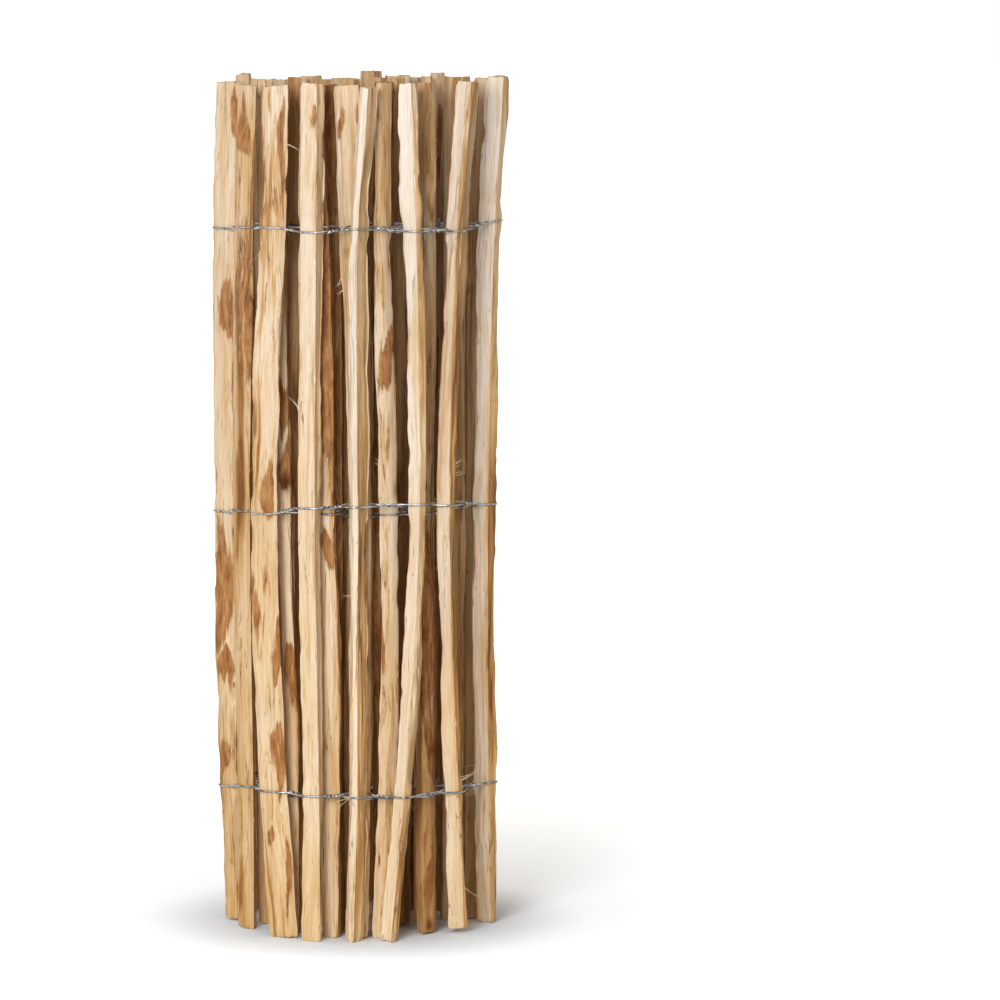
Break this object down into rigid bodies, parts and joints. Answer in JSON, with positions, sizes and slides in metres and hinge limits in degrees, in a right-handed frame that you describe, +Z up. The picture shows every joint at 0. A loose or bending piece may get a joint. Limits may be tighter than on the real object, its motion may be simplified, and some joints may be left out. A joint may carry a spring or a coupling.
{
  "type": "chestnut paling fence",
  "caption": "Roll of cleft chestnut paling standing on end: split wooden pales held between twisted galvanised wires in three rows, wound up as sold",
  "frame": {"origin": "on the ground under the middle of the roll", "axes": "+Z up along the pales, -Y the show side seen in the picture, +X its right"},
  "size_m": [0.4227, 0.3756, 1.206],
  "materials": {
    "chestnut": "split, unplaned",
    "wire": "galvanised"
  },
  "bodies": {
    "root": {"pale_01": "chestnut", "pale_02": "chestnut", "pale_03": "chestnut", "pale_04": "chestnut", "pale_05": "chestnut", "pale_06": "chestnut", "pale_07": "chestnut", "pale_08": "chestnut", "pale_09": "chestnut", "pale_10": "chestnut", "pale_11": "chestnut", "pale_12": "chestnut", "pale_13": "chestnut", "pale_14": "chestnut", "pale_15": "chestnut", "pale_16": "chestnut", "pale_17": "chestnut", "pale_18": "chestnut", "pale_19": "chestnut", "pale_20": "chestnut", "pale_21": "chestnut", "pale_22": "chestnut", "pale_23": "chestnut", "pale_24": "chestnut", "pale_25": "chestnut", "pale_26": "chestnut", "pale_27": "chestnut", "pale_28": "chestnut", "pale_29": "chestnut", "pale_30": "chestnut", "pale_31": "chestnut", "pale_32": "chestnut", "pale_33": "chestnut", "pale_34": "chestnut", "pale_35": "chestnut", "pale_36": "chestnut", "pale_37": "chestnut", "pale_38": "chestnut", "pale_39": "chestnut", "pale_40": "chestnut", "pale_41": "chestnut", "pale_42": "chestnut", "pale_43": "chestnut", "pale_44": "chestnut", "pale_45": "chestnut", "pale_46": "chestnut", "pale_47": "chestnut", "pale_48": "chestnut", "lower_wire_1": "wire", "lower_wire_2": "wire", "middle_wire_1": "wire", "middle_wire_2": "wire", "upper_wire_1": "wire", "upper_wire_2": "wire"}
  },
  "joints": []
}
